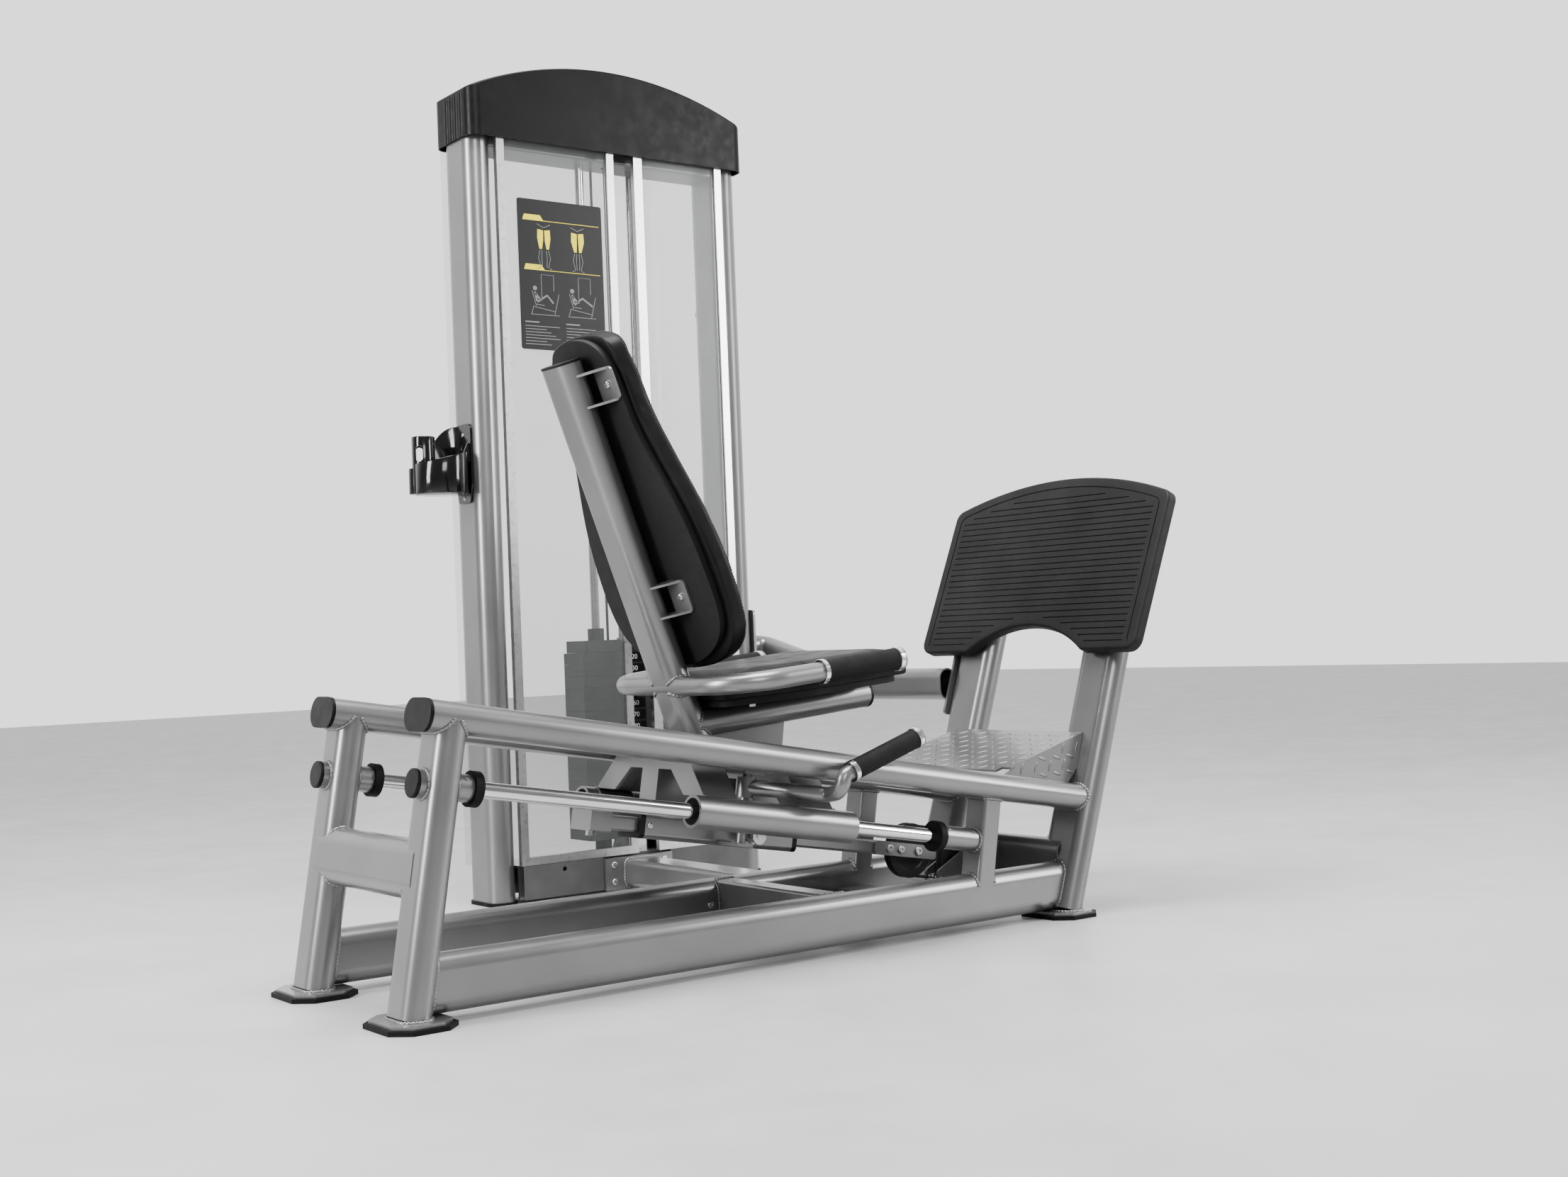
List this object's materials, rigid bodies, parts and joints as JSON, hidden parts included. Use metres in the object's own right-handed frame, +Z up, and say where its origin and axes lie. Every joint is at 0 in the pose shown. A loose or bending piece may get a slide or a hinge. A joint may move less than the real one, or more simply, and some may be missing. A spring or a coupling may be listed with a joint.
{
  "type": "seated leg press machine",
  "caption": "Seated leg press machine: padded seat carriage on sloped shafts, grooved foot board and a shielded weight stack tower at its side.",
  "frame": {"origin": "middle of the machine's bounding box, on the floor", "axes": "+X from the seat to the foot board, +Y from the seat to the weight tower, +Z up"},
  "size_m": [1.6237, 1.243, 1.785],
  "materials": {
    "silver_paint": "silver-grey metallic powder coat, soft gloss",
    "dark_plastic": "dark charcoal moulded plastic, satin",
    "black_plastic": "black plastic",
    "grey_plastic": "dark grey sheet",
    "gloss_black": "glossy black moulding",
    "bright_steel": "zinc plated steel",
    "chrome": "hard chromed ground shaft",
    "aluminium_trim": "anodised aluminium",
    "clear_sheet": "clear acrylic sheet",
    "rubber": "black rubber",
    "board_rubber": "dark grey grooved rubber",
    "foam_grip": "matt black foam rubber",
    "tread_plate": "silver-grey painted diamond tread sheet",
    "upholstery": "black upholstery vinyl, fine grain",
    "board_wood": "plywood under black vinyl",
    "pulley_nylon": "black glass-filled nylon",
    "cast_plate": "black painted cast iron",
    "coated_cable": "black nylon coated steel cable"
  },
  "bodies": {
    "frame": {"bottom_rails": "silver_paint", "rear_posts": "silver_paint", "upper_rails": "silver_paint", "front_posts": "silver_paint", "frame_struts": "silver_paint", "floor_plates": "silver_paint", "rubber_feet": "rubber", "frame_end_caps": "dark_plastic", "guide_shafts": "chrome", "shaft_sockets": "silver_paint", "rubber_stops": "rubber", "foot_board": "board_rubber", "step_plate": "tread_plate", "cup_holder": "gloss_black", "connecting_tube": "silver_paint", "brace_tube": "silver_paint", "mounting_plates": "silver_paint", "tower_posts": "silver_paint", "tower_beams": "silver_paint", "guide_rods": "chrome", "base_cover": "grey_plastic", "shield_trims": "aluminium_trim", "clear_shields": "clear_sheet", "cowl": "dark_plastic", "resting_plates": "cast_plate", "pulley_axles": "bright_steel", "pulley_brackets": "silver_paint", "travel_cable": "coated_cable", "base_cable": "coated_cable", "lift_cable": "coated_cable", "frame_bolts": "bright_steel"},
    "stack": {"head_plate": "cast_plate", "lifted_plates": "cast_plate", "selector_stem": "bright_steel"},
    "pin": {"selector_pin": "black_plastic"},
    "adjuster": {"adjuster_bar": "silver_paint", "adjuster_bolts": "bright_steel"},
    "moving_wheel": {"travelling_pulley": "pulley_nylon"},
    "carriage": {"bearing_housings": "silver_paint", "linear_bearings": "bright_steel", "carriage_frame": "silver_paint", "adjuster_sleeve": "silver_paint", "sleeve_bushings": "black_plastic", "handle_bar": "silver_paint", "handle_grips": "foam_grip", "pad_boards": "board_wood", "back_pad": "upholstery", "seat_pad": "upholstery", "back_post": "silver_paint", "seat_tube": "silver_paint", "carriage_brackets": "silver_paint", "carriage_bolts": "bright_steel", "carriage_end_caps": "black_plastic"},
    "lever": {"lever_tube": "silver_paint", "lever_grip": "foam_grip"},
    "plunger": {"lock_plunger": "bright_steel"},
    "front_wheel": {"front_pulley": "pulley_nylon"},
    "turning_wheel": {"turning_pulley": "pulley_nylon"},
    "base_wheel": {"base_pulley": "pulley_nylon"},
    "top_wheel": {"top_pulley": "pulley_nylon"}
  },
  "joints": [
    {"name": "press_slide", "type": "slide", "parent": "frame", "child": "adjuster", "axis": [-0.9852, 0, 0.1714], "range_m": [0, 0.33], "deforming": ["travel_cable"]},
    {"name": "seat_adjust", "type": "slide", "parent": "adjuster", "child": "carriage", "axis": [0.9852, 0, -0.1714], "range_m": [-0.045, 0.15]},
    {"name": "stack_lift", "type": "slide", "parent": "frame", "child": "stack", "axis": [0, 0, 1], "range_m": [0, 0.66], "deforming": ["lift_cable"]},
    {"name": "selector_pull", "type": "slide", "parent": "stack", "child": "pin", "axis": [0, -1, 0], "range_m": [0, 0.075]},
    {"name": "lever_swing", "type": "hinge", "parent": "carriage", "child": "lever", "pos_m": [-0.08385, -0.40097, 0.2844], "axis": [-0.1714, 0, -0.9852], "range_deg": [0, 12], "stiffness_Nm_per_rad": 4, "springref_deg": -20.05},
    {"name": "plunger_slide", "type": "slide", "parent": "carriage", "child": "plunger", "axis": [0, -1, 0], "range_m": [0, 0.0099]},
    {"name": "travelling_pulley_spin", "type": "hinge", "parent": "adjuster", "child": "moving_wheel", "pos_m": [0.33789, -0.32097, 0.12982], "axis": [0, -1, 0], "range_deg": [0, 414]},
    {"name": "front_pulley_spin", "type": "hinge", "parent": "frame", "child": "front_wheel", "pos_m": [0.47609, -0.32097, 0.0938], "axis": [0, -1, 0], "range_deg": [0, 657]},
    {"name": "turning_pulley_spin", "type": "hinge", "parent": "frame", "child": "turning_wheel", "pos_m": [0.31815, -0.27497, 0.036], "axis": [0, 0, 1], "range_deg": [0, 825]},
    {"name": "base_pulley_spin", "type": "hinge", "parent": "frame", "child": "base_wheel", "pos_m": [0.27215, 0.57203, 0.069], "axis": [-1, 0, 0], "range_deg": [0, 1148]},
    {"name": "top_pulley_spin", "type": "hinge", "parent": "frame", "child": "top_wheel", "pos_m": [0.27215, 0.57603, 1.685], "axis": [-1, 0, 0], "range_deg": [0, 1306]}
  ],
  "couplings": [
    {"joint": "stack_lift", "follows": "press_slide", "ratio": 2},
    {"joint": "plunger_slide", "follows": "lever_swing", "m_per_rad": 0.0466},
    {"joint": "travelling_pulley_spin", "follows": "press_slide", "rad_per_m": 21.739},
    {"joint": "front_pulley_spin", "follows": "press_slide", "rad_per_m": 34.602},
    {"joint": "turning_pulley_spin", "follows": "press_slide", "rad_per_m": 43.478},
    {"joint": "base_pulley_spin", "follows": "press_slide", "rad_per_m": 60.606},
    {"joint": "top_pulley_spin", "follows": "press_slide", "rad_per_m": 68.966}
  ]
}
